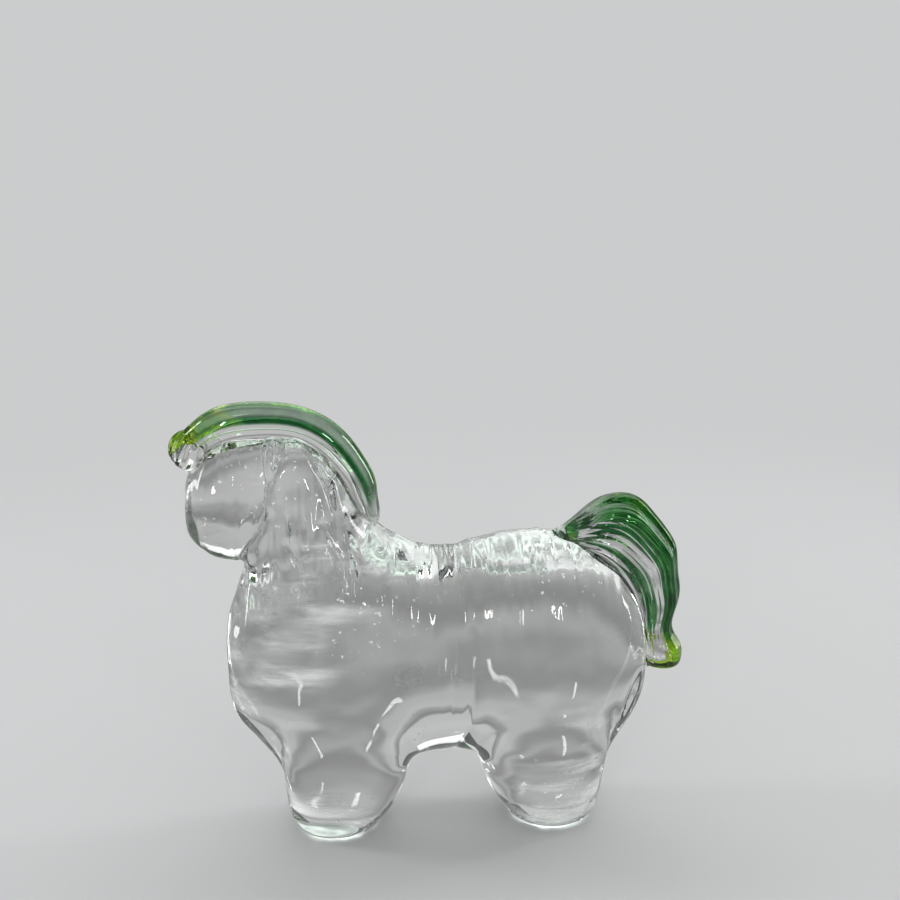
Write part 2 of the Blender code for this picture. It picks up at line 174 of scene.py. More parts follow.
class HorseTailSettings(bpy.types.PropertyGroup):
    """Sizes of the ribbed tail and its green skin."""
    top_angle: angle("Top angle", 96, "Where the tail starts, turning about the haunch")
    tip_angle: angle("Tip angle", -28, "Where the tail ends, turning about the haunch")
    root: pair("Root", 3.5, 0.7, "Thickness and height where it starts")
    full: pair("Fullest", 18.2, 17.5, "Thickness and height at its fullest")
    middle: pair("Middle", 16.4, 15.8, "Thickness and height half way down")
    lower: pair("Lower", 13.0, 12.0, "Thickness and height two thirds down")
    pinch: pair("Pinch", 8.8, 7.6, "Thickness and height at the pinch")
    tip: pair("Tip", 11.4, 10.8, "Thickness and height of the tip")
    ribs: IntProperty(name="Ribs", description="Ribs round the tail", default=7)
    rib_depth: length("Rib depth", 1.5 * MM, "Depth of the grooves between the ribs")
    flutes: IntProperty(name="Flutes", description="Fine flutes on each rib", default=4)
    flute_depth: length("Flute depth", 0.22 * MM, "Depth of the fine flutes")
    skin_half_angle: angle("Skin half angle", 68, "How far the green reaches down each side")
    stripe_half_angle: angle("Stripe half angle", 4, "Half width of a green stripe in a groove")
    foot_angle: angle("Foot angle", 146, "Where the fused foot starts, from the outer side")


class HorseGlassSettings(bpy.types.PropertyGroup):
    """Colours and optics of the glass."""
    ior: number("Refraction", 1.52, "Index of refraction")
    clear: colour("Clear glass", (0.985, 0.995, 0.99), "Tint of the clear glass")
    bottle: colour("Bottle green", (0.03, 0.26, 0.07), "Tint where the green lies deep")
    green: colour("Green glass", (0.16, 0.56, 0.17), "Tint of the green skin")
    lime: colour("Lime glass", (0.62, 0.90, 0.08), "Tint where the green is drawn thin")
    clear_depth: colour("Clear depth", (0.80, 0.92, 0.86), "Colour of thick clear glass")
    clear_density: number("Clear density", 2, "How fast depth colours clear glass, per metre")
    green_depth: colour("Green depth", (0.35, 0.80, 0.30), "Colour of thick green glass")
    green_density: number("Green density", 200, "How fast depth colours green glass, per metre")
    ripple: length("Ripple", 0.15 * MM, "Height of the soft ripple on the body")
    striae: length("Striae", 0.08 * MM, "Height of the slanting striae on the body")
    pull_lines: length("Pull lines", 1.2 * MM, "Height of the lines drawn down from the back")
    trail_ripple: length("Trail ripple", 0.14 * MM, "Height of the ripple on the trails")
    skin_thickness: length("Skin thickness", 0.3 * MM, "Thickness of the green skin")
    seat_overlap: length("Seat overlap", 0.12 * MM, "How far fused pieces sink in each other")
    haze: share("Smudge haze", 0.9, "How much finger smudges cloud the glass")
    smudge_roughness: share("Smudge roughness", 0.32, "How much finger smudges dull the glass")
    dust: share("Dust", 0.8, "How solid the specks of dust are")
    ground_haze: share("Ground haze", 0.8, "How white the ground feet are")
    ground_roughness: share("Ground roughness", 0.4, "How dull the ground feet are")
    # Painted light: the ground feet glow in this colour, standing in for light the glass gathers on
    # them
    painted_foot_glow: colour("Ground glow", (0.85, 1.0, 0.90), "Light the glass gathers on its feet")


class HorseStageSettings(bpy.types.PropertyGroup):
    """Floor, lights and camera."""
    floor: colour("Floor", (0.60, 0.605, 0.61), "Colour of the floor and backdrop")
    # Painted shade: glass shows the room in this dark colour, while the room lights the horse white
    room: colour("Room", (0.08, 0.082, 0.085), "Colour of the room high above the horse")
    room_light: share("Room light", 0.58, "How much the room lights the horse")
    near: length("Shadow reach", 0.18, "How far from the horse the floor keeps its shadow")
    far: length("Even from", 0.45, "From how far away the floor is evenly pale")
    paper_roughness: share("Paper roughness", 0.6, "How matt the floor is")
    lens: number("Lens", 50, "Focal length in mm on a sensor 36 mm wide")
    camera: FloatVectorProperty(name="Camera", description="Place of the camera", size=3,
                                default=(-0.0242, -0.2848, 0.1825), unit="LENGTH")
    camera_pitch: angle("Camera pitch", 16.3, "How far the camera looks down")
    camera_yaw: angle("Camera yaw", 5.5, "How far the camera turns towards the tail")


# Helpers for modelling

def pick(obj):
    """Deselect everything and make one object the active one."""
    bpy.ops.object.select_all(action="DESELECT")
    obj.select_set(True)
    bpy.context.view_layer.objects.active = obj


def edit_mode(obj, selection="DESELECT"):
    """Go into edit mode on one object, with nothing or with everything selected."""
    pick(obj)
    bpy.ops.object.mode_set(mode="EDIT")
    bpy.ops.mesh.select_all(action=selection)


def object_mode():
    """Leave edit mode."""
    bpy.ops.object.mode_set(mode="OBJECT")


def apply_place(obj):
    """Apply an object's location, rotation and scale to its mesh."""
    pick(obj)
    bpy.ops.object.transform_apply(location=True, rotation=True, scale=True)


def select_faces(obj, wanted):
    """In edit mode, select the faces whose BMFace passes a test."""
    bpy.ops.mesh.select_mode(type="FACE")
    bm = bmesh.from_edit_mesh(obj.data)
    for face in bm.faces:
        face.select_set(wanted(face))
    bm.select_flush_mode()
    bmesh.update_edit_mesh(obj.data)


def apply_modifier(obj, kind, **settings):
    """Add one modifier with its settings and apply it."""
    pick(obj)
    modifier = obj.modifiers.new(kind.title(), kind)
    for name, value in settings.items():
        setattr(modifier, name, value)
    bpy.ops.object.modifier_apply(modifier=modifier.name)


def subdivide(obj, levels):
    """Smooth a cage with an applied Subdivision Surface."""
    apply_modifier(obj, "SUBSURF", levels=levels, render_levels=levels, use_limit_surface=False)


def copy_object(source, name):
    """Copy an object with its own mesh, without the CAD node's parent and tags."""
    obj = bpy.data.objects.new(name, source.data.copy())
    obj.data.name = name
    bpy.context.scene.collection.objects.link(obj)
    return obj


def turn_faces_out(obj):
    """Make every face point outwards."""
    edit_mode(obj, "SELECT")
    bpy.ops.mesh.normals_make_consistent(inside=False)
    object_mode()


def vertex_normals(obj):
    """The normals of a piece's vertices, as they are before any of them moves."""
    return [vert.normal.copy() for vert in obj.data.vertices]


def surface_tree(obj):
    """A search tree of a piece's surface."""
    return BVHTree.FromObject(obj, bpy.context.evaluated_depsgraph_get())


def volume_of(mesh):
    """Volume inside a closed mesh."""
    bm = bmesh.new()
    bm.from_mesh(mesh)
    volume = bm.calc_volume()
    bm.free()
    return volume


def seat_on(obj, *carriers):
    """Cut a piece back to a little inside its carriers, as glass fused to them.

    Where surfaces just touch, a cut can leave nothing or too much, so it is tried again deeper.
    """
    overlap = bpy.context.scene.horse_glass.seat_overlap
    tries = 6
    deeper = 1 / 8
    least_left, most_left = 0.1, 1.001
    for carrier in carriers:
        whole = obj.data.copy()
        for earlier in range(tries):
            cutter = copy_object(carrier, "seat_cutter")
            depth = overlap * (1 + deeper * earlier)
            apply_modifier(cutter, "DISPLACE", strength=-depth, mid_level=0)
            apply_modifier(obj, "BOOLEAN", operation="DIFFERENCE", solver="MANIFOLD", object=cutter)
            bpy.data.objects.remove(cutter)
            if least_left < volume_of(obj.data) / volume_of(whole) < most_left:
                break
            obj.data = whole.copy()
        else:
            raise RuntimeError(f"{obj.name} can't be cut to sit on {carrier.name}")


def finish_piece(obj, material, slot, *nodes):
    """Shade a piece, dress it, and let it ride and stand for its CAD nodes."""
    pick(obj)
    bpy.ops.object.shade_smooth_by_angle(angle=SHARP_ANGLE)
    obj.data.materials.clear()
    obj.data.materials.append(material)
    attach(obj, "root")
    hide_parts(*nodes)


# Folds and waves of the hot worked body

def smooth_line(points, rounds=3):
    """Round the corners of a line of X and Z points in millimetres, and give it in metres."""
    line = [Vector((x, 0, z)) * MM for x, z in points]
    for _ in range(rounds):
        rounded = [line[0]]
        for start, end in zip(line, line[1:]):
            rounded += [start.lerp(end, 0.25), start.lerp(end, 0.75)]
        line = rounded + [line[-1]]
    return line


def nearest_on_line(line, point):
    """Nearest spot of a line to a point, both in side view, and its share of the line."""
    found = None
    for index, (start, end) in enumerate(zip(line, line[1:])):
        step = end - start
        part = min(1, max(0, (point - start).dot(step) / step.length_squared))
        spot = start + step * part
        away = (point - spot).length
        if found is None or away < found[0]:
            found = (away, spot, (index + part) / (len(line) - 1))
    return found


def press_fold(body, points, depth, width):
    """Press a fold into both flanks along its line, with its bottom right on the line."""
    slide = 0.2 * MM
    reach = 0.1
    on_flank, square_on = 0.15, 0.5
    fullness = 0.6
    tree = surface_tree(body)
    line = smooth_line(points)
    low = [min(spot[axis] for spot in line) - width for axis in (0, 2)]
    high = [max(spot[axis] for spot in line) + width for axis in (0, 2)]
    for vert, normal in zip(body.data.vertices, vertex_normals(body)):
        near = low[0] < vert.co.x < high[0] and low[1] < vert.co.z < high[1]
        if not near or abs(normal.y) < on_flank:
            continue
        flank = Vector((vert.co.x, 0, vert.co.z))
        away, spot, along = nearest_on_line(line, flank)
        if away > width:
            continue
        if away < slide and abs(normal.y) > square_on:
            side = ACROSS * math.copysign(1, vert.co.y)
            met = tree.ray_cast(spot + side * reach, -side)[0]
            if met:
                vert.co = met
                away = 0
        fade = math.sin(math.pi * along) ** fullness
        vert.co -= normal * depth * fade * (1 - away / width) ** 2


def ease(value, low, high):
    """Go smoothly from 0 to 1 as a value goes from low to high, which may be the lesser."""
    part = min(1, max(0, (value - low) / (high - low)))
    return part * part * (3 - 2 * part)


def make_wavy(body, sizes):
    """Make a surface gently uneven with flutes off the back, but leave its ground feet flat."""
    clear_of_floor = 4 * MM
    flutes_from, flutes_full = 46 * MM, 62 * MM
    finer, weaker = 2.3, 3
    drawn_across, drawn_down = 0.2, 0.1
    mean_flute = 0.2
    wave_height, wave_length = sizes.waves
    flute_height, flute_spacing = sizes.flutes
    for vert, normal in zip(body.data.vertices, vertex_normals(body)):
        x, y, z = vert.co
        here = vert.co / wave_length
        swell = noise.noise(here) + noise.noise(here * finer) / weaker
        flutes = noise.noise(Vector((x, y * drawn_across, z * drawn_down)) / flute_spacing)
        flutes = (mean_flute - abs(flutes)) * ease(z, flutes_from, flutes_full)
        rise = wave_height * swell + flute_height * flutes
        vert.co += normal * rise * min(1, z / clear_of_floor) ** 2


# Trails laid on the body

def outline_point(tree, pivot, turn):
    """Point and outward direction of the body's outline, met at a turn about a pivot."""
    reach = 0.2
    direction = Vector((math.cos(turn), 0, math.sin(turn)))
    point, normal, _, _ = tree.ray_cast(pivot + direction * reach, -direction)
    if point is None:
        raise RuntimeError("A trail finds no body to lie on")
    normal.y = 0
    return point, normal.normalized()


def soft_stop(stops, at):
    """Values at a share of a trail, eased between its stops."""
    for (low, *start), (high, *end) in zip(stops, stops[1:]):
        if at <= high:
            part = (1 - math.cos(math.pi * (at - low) / (high - low))) / 2
            return [a + (b - a) * part for a, b in zip(start, end)]
    return stops[-1][1:]


def trail_route(body, pivot, angles, count, stops, inset):
    """Stations of a trail that lies along the body's outline."""
    tree = surface_tree(body)
    route = []
    for step in range(count + 1):
        at = step / count
        point, outward = outline_point(tree, pivot, angles[0] + (angles[1] - angles[0]) * at)
        thickness, height = soft_stop(stops, at)
        centre = point + outward * (height - thickness / 2)
        route.append(Station(at, centre, outward, thickness / 2 - inset))
    return relax(route, 3)


def relax(route, rounds):
    """Even out the steps of a route."""
    for _ in range(rounds):
        evened = list(route)
        for index in range(1, len(route) - 1):
            before, here, after = route[index - 1:index + 2]
            centre = (before.centre + here.centre * 2 + after.centre) / 4
            outward = before.outward + here.outward * 2 + after.outward
            evened[index] = here._replace(centre=centre, outward=outward.normalized())
        route = evened
    return route


def round_end(route, steps, depth):
    """Add stations that close the last end of a route like a dome of a given depth."""
    small_flat = 0.4
    last, before = route[-1], route[-2]
    along = (last.centre - before.centre).normalized()
    for step in range(1, steps + 1):
        turn = math.radians(90) * step / (steps + small_flat)
        centre = last.centre + along * depth * math.sin(turn)
        route.append(last._replace(centre=centre, radius=last.radius * math.cos(turn)))
    return route


def tilt_of(outward):
    """Turn about Y that takes +X to an outward direction."""
    return -math.atan2(outward.z, outward.x)


def shape_section(ring, foot_angle, flare, ribs):
    """Shape a round section: ribs outside, and a foot that flares into the body."""
    foot_reach = 1.45
    for vert in ring.data.vertices:
        turn = math.atan2(vert.co.y, vert.co.x)
        part = (abs(turn) - foot_angle) / (math.pi - foot_angle)
        if part <= 0:
            for rib in ribs:
                vert.co *= 1 - rib.groove * (1 - abs(math.cos(rib.count * turn / 2)))
            continue
        radius = vert.co.length
        neck = math.cos(foot_angle)
        out = neck - (foot_reach + neck) * part
        across = math.sin(foot_angle) * (1 + flare * part ** 2) if part < 1 - WELD else 0
        vert.co = Vector((out, math.copysign(across, turn), 0)) * radius


def lay_trail(name, route, sides, foot_angle, flare, ribs=()):
    """Draw a trail by extruding one ring of glass from station to station."""
    first = route[0]
    bpy.ops.mesh.primitive_circle_add(vertices=sides, radius=first.radius, fill_type="NGON",
                                      location=(0, 0, 0), rotation=(0, 0, math.radians(90)))
    trail = bpy.context.object
    trail.name = trail.data.name = name
    apply_place(trail)
    shape_section(trail, foot_angle, flare, ribs)
    trail.location = first.centre
    trail.rotation_euler = (0, tilt_of(first.outward), 0)
    apply_place(trail)
    edit_mode(trail, "SELECT")
    for before, here in zip(route, route[1:]):
        bpy.ops.mesh.extrude_region_move(
            TRANSFORM_OT_translate={"value": here.centre - before.centre})
        size = here.radius / before.radius
        bpy.ops.transform.resize(value=(size, size, size), center_override=here.centre)
        turn = tilt_of(here.outward) - tilt_of(before.outward)
        turn = (turn + math.pi) % (2 * math.pi) - math.pi
        bpy.ops.transform.rotate(value=-turn, orient_axis="Y", center_override=here.centre)
    object_mode()
    turn_faces_out(trail)
    return trail


def with_halfway(route):
    """A route with one more station half way between each two, where faces have their middles."""
    finer = route[:1]
    for before, here in zip(route, route[1:]):
        middle = Station(*((a + b) / 2 for a, b in zip(before, here)))
        finer += [middle._replace(outward=middle.outward.normalized()), here]
    return finer


def station_at(route, point):
    """The station whose section holds a point, or lies nearest to it."""
    def off_section(station):
        plane_counts = 3
        arm = point - station.centre
        return arm.length + plane_counts * abs(arm.dot(ACROSS.cross(station.outward)))
    return min(route, key=off_section)


def place_on_route(route, point):
    """Share of the route's length and turn from its outward side, at a point near it."""
    station = station_at(route, point)
    arm = point - station.centre
    return station.share, math.atan2(abs(arm.dot(ACROSS)), arm.dot(station.outward))


def lay_skin(core, name, covered):
    """Lay a thin skin of glass over the faces of a piece whose middles pass a test."""
    skin = copy_object(core, name)
    edit_mode(skin)
    select_faces(skin, lambda face: not covered(face.calc_center_median()))
    bpy.ops.mesh.delete(type="FACE")
    object_mode()
    apply_modifier(skin, "SOLIDIFY", thickness=bpy.context.scene.horse_glass.skin_thickness,
                   offset=0, use_even_offset=True)
    return skin


def tint_skin(skin, tint):
    """Note on each vertex how thin the green is drawn, and how much of the clear glass it covers."""
    green = skin.data.attributes.new("green", "FLOAT_VECTOR", "POINT")
    for vert, value in zip(skin.data.vertices, green.data):
        value.vector = (*tint(vert.co), 0)


# Materials

class Nodes:
    """Short ways to build one node tree."""

    def __init__(self, owner):
        owner.use_nodes = True
        self.tree = owner.node_tree

    def feed(self, socket, value):
        """Link a socket, or set its value."""
        if isinstance(value, bpy.types.NodeSocket):
            self.tree.links.new(value, socket)
        else:
            socket.default_value = value

    def fill(self, node, *values, **named):
        """Feed a node's inputs in their order or by name."""
        for index, value in enumerate(values):
            self.feed(node.inputs[index], value)
        for name, value in named.items():
            self.feed(node.inputs[name.replace("_", " ")], value)

    def add(self, kind, *values, **named):
        """Add a node, and feed its inputs."""
        node = self.tree.nodes.new(kind)
        self.fill(node, *values, **named)
        return node

    def place(self):
        """Object coordinates."""
        return self.add("ShaderNodeTexCoord").outputs["Object"]

    def height(self):
        """Height above the floor."""
        return self.add("ShaderNodeSeparateXYZ", Vector=self.place()).outputs["Z"]

    def stretched(self, scale, turn=(0, 0, 0)):
        """Object coordinates, turned and stretched."""
        node = self.add("ShaderNodeMapping", Vector=self.place(), Scale=scale, Rotation=turn)
        return node.outputs["Vector"]

    def noise(self, scale, detail=2.0, roughness=0.5, distortion=0.0, vector=None):
        """Factor of a noise pattern with a scale in waves per metre."""
        node = self.add("ShaderNodeTexNoise", Vector=vector or self.place(), Scale=scale,
                        Detail=detail, Roughness=roughness, Distortion=distortion)
        return node.outputs["Fac"]

    def between(self, value, low, high, to_low=0.0, to_high=1.0):
        """Map a value smoothly from one range to another."""
        node = self.add("ShaderNodeMapRange", Value=value, From_Min=low, From_Max=high,
                        To_Min=to_low, To_Max=to_high)
        node.interpolation_type = "SMOOTHSTEP"
        return node.outputs["Result"]

    def math(self, operation, first, second):
        """Combine two values."""
        node = self.add("ShaderNodeMath", first, second)
        node.operation = operation
        return node.outputs["Value"]

    def blend(self, factor, first, second):
        """Mix two colours."""
        node = self.tree.nodes.new("ShaderNodeMix")
        node.data_type = "RGBA"
        self.feed(node.inputs["Factor"], factor)
        self.feed(node.inputs[6], first)
        self.feed(node.inputs[7], second)
        return node.outputs[2]

    def tones(self, value, stops):
        """Grey tones eased between stops of a value."""
        ramp = self.tree.nodes.new("ShaderNodeValToRGB")
        ramp.color_ramp.interpolation = "EASE"
        top = stops[-1][0]
        self.feed(ramp.inputs["Fac"], self.math("DIVIDE", value, top))
        marks = ramp.color_ramp.elements
        while len(marks) < len(stops):
            marks.new(1)
        for mark, (at, tone) in zip(marks, stops):
            mark.position = at / top
            mark.color = (tone, tone, tone, 1)
        return ramp.outputs["Color"]

    def bump(self, height, distance, normal=None):
        """A bump whose full height is a distance in metres."""
        node = self.add("ShaderNodeBump", Distance=distance, Height=height)
        if normal is not None:
            self.feed(node.inputs["Normal"], normal)
        return node.outputs["Normal"]

    def seen_rays(self):
        """1 for rays straight from the camera, and 1 for rays mirrored by or sent through glass."""
        path = self.add("ShaderNodeLightPath").outputs
        mirrored = self.math("MAXIMUM", path["Is Glossy Ray"], path["Is Transmission Ray"])
        return path["Is Camera Ray"], mirrored

    def show_mixed(self, output, factor, first, second):
        """Show a mix of two shaders at the output."""
        mixed = self.add("ShaderNodeMixShader", factor, first, second)
        self.fill(self.tree.nodes[output], Surface=mixed.outputs["Shader"])


class GlassNodes(Nodes):
    """The nodes of one glass material, set up as plain glass of one tint."""

    def __init__(self, name, tint):
        glass = bpy.context.scene.horse_glass
        self.material = bpy.data.materials.new(name)
        super().__init__(self.material)
        self.dress(IOR=glass.ior, Transmission_Weight=1, Roughness=0, Base_Color=(*tint, 1))

    def dress(self, **named):
        """Feed inputs of the glass surface by name."""
        self.fill(self.tree.nodes["Principled BSDF"], **named)

    def absorb(self, tint, density):
        """Tint the inside of the glass by its depth."""
        node = self.add("ShaderNodeVolumeAbsorption", Color=(*tint, 1), Density=density)
        self.fill(self.tree.nodes["Material Output"], Volume=node.outputs["Volume"])


def body_glass():
    """Clear glass with the ripple of hot working, wiping streaks, finger smudges, dust and frosted
    ground feet, which carry a painted glow.
    """
    glass = bpy.context.scene.horse_glass
    nodes = GlassNodes("clear_body_glass", glass.clear)
    ripple = nodes.bump(nodes.noise(55, detail=1), glass.ripple)
    striae = nodes.noise(60, detail=3, vector=nodes.stretched((0.35, 1, 1.5), (0, 0.5, 0)))
    pulled = nodes.noise(230, detail=1, vector=nodes.stretched((1, 0.15, 0.1)))
    near_back = nodes.between(nodes.height(), 50 * MM, 66 * MM)
    pulled = nodes.math("MULTIPLY", pulled, near_back)
    surface = nodes.bump(pulled, glass.pull_lines, nodes.bump(striae, glass.striae, ripple))
    nodes.dress(Normal=surface)

    wiping = nodes.noise(110, detail=4, roughness=0.6,
                         vector=nodes.stretched((0.25, 1, 1.6), (0, 0.35, 0)))
    patch = nodes.between(nodes.noise(26, detail=2), 0.45, 0.62)
    smudge = nodes.math("MULTIPLY", nodes.between(wiping, 0.44, 0.72), patch)
    specks = nodes.between(nodes.noise(700, detail=3, roughness=0.6), 0.64, 0.68)
    dust = nodes.math("MULTIPLY", specks, nodes.between(nodes.noise(33, detail=1), 0.5, 0.62))
    ground = nodes.between(nodes.height(), 0.6 * MM, 0.4 * MM)

    rough = nodes.math("MULTIPLY", smudge, glass.smudge_roughness)
    ground_rough = nodes.math("MULTIPLY", ground, glass.ground_roughness)
    nodes.dress(Roughness=nodes.math("MAXIMUM", rough, ground_rough))
    cloud = nodes.math("MULTIPLY", smudge, glass.haze)
    cloud = nodes.math("MAXIMUM", cloud, nodes.math("MULTIPLY", dust, glass.dust))
    cloud = nodes.math("MAXIMUM", cloud, nodes.math("MULTIPLY", ground, glass.ground_haze))
    nodes.dress(Transmission_Weight=nodes.math("SUBTRACT", 1.0, cloud))
    # Painted light: a mottled glow on the ground feet, standing in for light the glass gathers there
    painted_glow_mottle = nodes.between(nodes.noise(150, detail=3), 0.40, 0.62, 0.10, 0.85)
    nodes.dress(Emission_Color=(*glass.painted_foot_glow, 1),
                Emission_Strength=nodes.math("MULTIPLY", ground, painted_glow_mottle))
    nodes.absorb(glass.clear_depth, glass.clear_density)
    return nodes.material


def trail_glass(name):
    """Clear glass of a trail, faintly rippled."""
    glass = bpy.context.scene.horse_glass
    nodes = GlassNodes(name, glass.clear)
    smudge = nodes.between(nodes.noise(160, detail=4), 0.55, 0.8, 0, 0.12)
    nodes.dress(Normal=nodes.bump(nodes.noise(130, detail=1), glass.trail_ripple), Roughness=smudge)
    nodes.absorb(glass.clear_depth, glass.clear_density)
    return nodes.material


def green_glass(name):
    """Green glass skin: bottle green where it lies deep, lime where it is drawn thin."""
    glass = bpy.context.scene.horse_glass
    nodes = GlassNodes(name, glass.green)
    drawn = nodes.tree.nodes.new("ShaderNodeAttribute")
    drawn.attribute_name = "green"
    drawn = nodes.add("ShaderNodeSeparateXYZ", Vector=drawn.outputs["Vector"])
    swirl = nodes.noise(95, detail=3, distortion=2.2)
    thin = nodes.math("ADD", drawn.outputs["X"], nodes.between(swirl, 0.35, 0.65, -0.2, 0.2))
    tint = nodes.blend(nodes.between(thin, 0, 0.5), (*glass.bottle, 1), (*glass.green, 1))
    tint = nodes.blend(nodes.between(thin, 0.5, 1), tint, (*glass.lime, 1))
    tint = nodes.blend(drawn.outputs["Y"], (*glass.clear, 1), tint)
    nodes.dress(Base_Color=tint,
                Normal=nodes.bump(nodes.noise(130, detail=1), glass.trail_ripple))
    nodes.absorb(glass.green_depth, glass.green_density)
    return nodes.material


# Operators

class HORSE_OT_body(bpy.types.Operator):
    """Smooth the clear body, fold its cheek, haunch and belly, and dress it"""
    bl_idname = "horse.body"
    bl_label = "Clear body"

    def execute(self, context):
        sizes = context.scene.horse_body
        body = copy_object(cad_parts["clear_body"], "body_glass")
        edit_mode(body, "SELECT")
        bpy.ops.mesh.remove_doubles(threshold=WELD)
        bpy.ops.mesh.tris_convert_to_quads(face_threshold=math.pi, shape_threshold=math.pi,
                                           topology_influence=0.5)
        select_faces(body, self.on_floor)
        bpy.ops.mesh.dissolve_faces()
        select_faces(body, self.on_floor)
        bpy.ops.mesh.region_to_loop()
        bpy.ops.transform.edge_crease(value=1)
        object_mode()
        subdivide(body, 2)
        folds = [(CHEEK_LINE, sizes.cheek), (POLL_LINE, sizes.poll), (HAUNCH_LINE, sizes.haunch),
                 (BELLY_LINE, sizes.belly), (NECK_LINE, sizes.neck)]
        folds += [(line, sizes.pleats) for line in (THROAT_LINE, *SHOULDER_LINES)]
        for line, (depth, width) in folds:
            press_fold(body, line, depth, width)
        make_wavy(body, sizes)
        finish_piece(body, body_glass(), "clear_glass", "clear_body")
        return {"FINISHED"}

    @staticmethod
    def on_floor(face):
        """Whether a face is part of a ground foot."""
        return max(vert.co.z for vert in face.verts) < WELD


class HORSE_OT_knob(bpy.types.Operator):
    """Pincer the clear knob on the forehead, and cap it with green"""
    bl_idname = "horse.knob"
    bl_label = "Forelock knob"

    def execute(self, context):
        knob = context.scene.horse_knob
        body = bpy.data.objects["body_glass"]
        point, outward = outline_point(surface_tree(body), NECK_PIVOT,
                                       context.scene.horse_mane.front_angle)
        along = Vector((-outward.z, 0, outward.x))
        to_poll = along if along.x > 0 else -along
        centre = point + outward * (knob.height - knob.thickness / 2) - to_poll * knob.shift
        size = Vector((knob.thickness, knob.width, knob.length_along))
        piece = self.lobe("forelock_knob_glass", centre, outward, size)
        self.pincer(piece, centre, outward, knob)
        bead_at = point + outward * knob.bead * knob.bead_lift + to_poll * knob.bead_shift
        bead = self.lobe("bead", bead_at, outward, Vector((1, 1, 1)) * knob.bead)
        cap_reach = math.cos(knob.cap_half_angle) * knob.thickness / 2
        cap = lay_skin(piece, "forelock_green_cap",
                       lambda middle: (middle - centre).dot(outward) > cap_reach)
        subdivide(piece, 2)
        subdivide(bead, 2)
        apply_modifier(piece, "BOOLEAN", operation="UNION", solver="MANIFOLD", object=bead)
        bpy.data.objects.remove(bead)
        subdivide(cap, 2)
        for glass in (piece, cap):
            seat_on(glass, body)
        thinness, cover = 0.95, 1
        tint_skin(cap, lambda place: (thinness, cover))
        finish_piece(piece, trail_glass("forelock_knob_glass"), "clear_glass", "forelock_knob")
        finish_piece(cap, green_glass("green_cap_glass"), "green_glass", "mane_green_overlay")
        return {"FINISHED"}

    def lobe(self, name, centre, outward, size):
        """A round lobe of glass at its place."""
        bpy.ops.mesh.primitive_uv_sphere_add(segments=32, ring_count=16, radius=0.5)
        piece = bpy.context.object
        piece.name = piece.data.name = name
        piece.scale = size
        piece.rotation_euler = (0, tilt_of(outward), 0)
        piece.location = centre
        apply_place(piece)
        return piece

    def pincer(self, piece, centre, outward, knob):
        """Press slanting grooves round a lobe."""
        along = Vector((-outward.z, 0, outward.x))
        for vert in piece.data.vertices:
            arm = vert.co - centre
            depth = arm.dot(along)
            around = math.atan2(arm.dot(ACROSS), arm.dot(outward))
            around += knob.twist * depth / knob.length_along
            axis = centre + along * depth
            press = knob.groove_depth / knob.thickness * (1 - math.cos(knob.grooves * around))
            vert.co = vert.co.lerp(axis, press)


class HORSE_OT_mane(bpy.types.Operator):
    """Lay the mane trail along the crest, with its green skin"""
    bl_idname = "horse.mane"
    bl_label = "Mane"

    def execute(self, context):
        mane = context.scene.horse_mane
        skin_depth = context.scene.horse_glass.skin_thickness
        body = bpy.data.objects["body_glass"]
        knob = bpy.data.objects["forelock_knob_glass"]
        steps, sides, foot_flare = 28, 24, 0.3
        spare_skin = 1.2
        thickness, height = mane.full
        rear_thickness, rear_height = mane.rear
        # Share of the trail, with its thickness and height there
        stops = [
            (0, thickness * 0.8, height * 0.8),
            (0.1, thickness, height),
            (0.45, *mane.middle),
            (0.75, *mane.lower),
            (0.95, rear_thickness, rear_height),
            (1, rear_thickness * 0.8, rear_height * 0.4),
        ]
        route = trail_route(body, NECK_PIVOT, (mane.front_angle, mane.rear_angle), steps, stops,
                            skin_depth / 2)
        core = lay_trail("mane_glass", route, sides, mane.foot_angle, foot_flare)
        route = with_halfway(route)

        # Share of the trail, with how thin the green is at the front and how much it covers
        along_mane = [(0, 1, 1), (0.1, 0.7, 1), (0.25, 0, 1), (0.82, 0, 1), (0.97, 0, 0), (1, 0, 0)]
        # Share of the way down the side, with how thin the green is and how much it covers
        down_mane = [(0, 0.7, 1), (0.2, 0.5, 0.9), (0.45, 0.2, 0.45), (0.65, 0.2, 0.45),
                     (0.85, 0, 1), (3, 0, 1)]
        clear_edge = 1.08, 0.97

        def covered(middle):
            return place_on_route(route, middle)[1] < mane.skin_half_angle * spare_skin

        def tint(place):
            at, turn = place_on_route(route, place)
            turn /= mane.skin_half_angle
            front, rear = soft_stop(along_mane, at)
            rim, cover = soft_stop(down_mane, turn)
            edge = ease(turn, *clear_edge)
            return max(front, rim), rear * min(edge, max(front, cover))

        skin = lay_skin(core, "mane_green_skin", covered)
        for piece in (core, skin):
            subdivide(piece, 2)
            seat_on(piece, body, knob)
        seat_on(bpy.data.objects["forelock_green_cap"], core)
        tint_skin(skin, tint)
        finish_piece(core, trail_glass("clear_mane_glass"), "clear_glass", "mane_trail")
        finish_piece(skin, green_glass("green_mane_glass"), "green_glass", "mane_green_overlay")
        return {"FINISHED"}


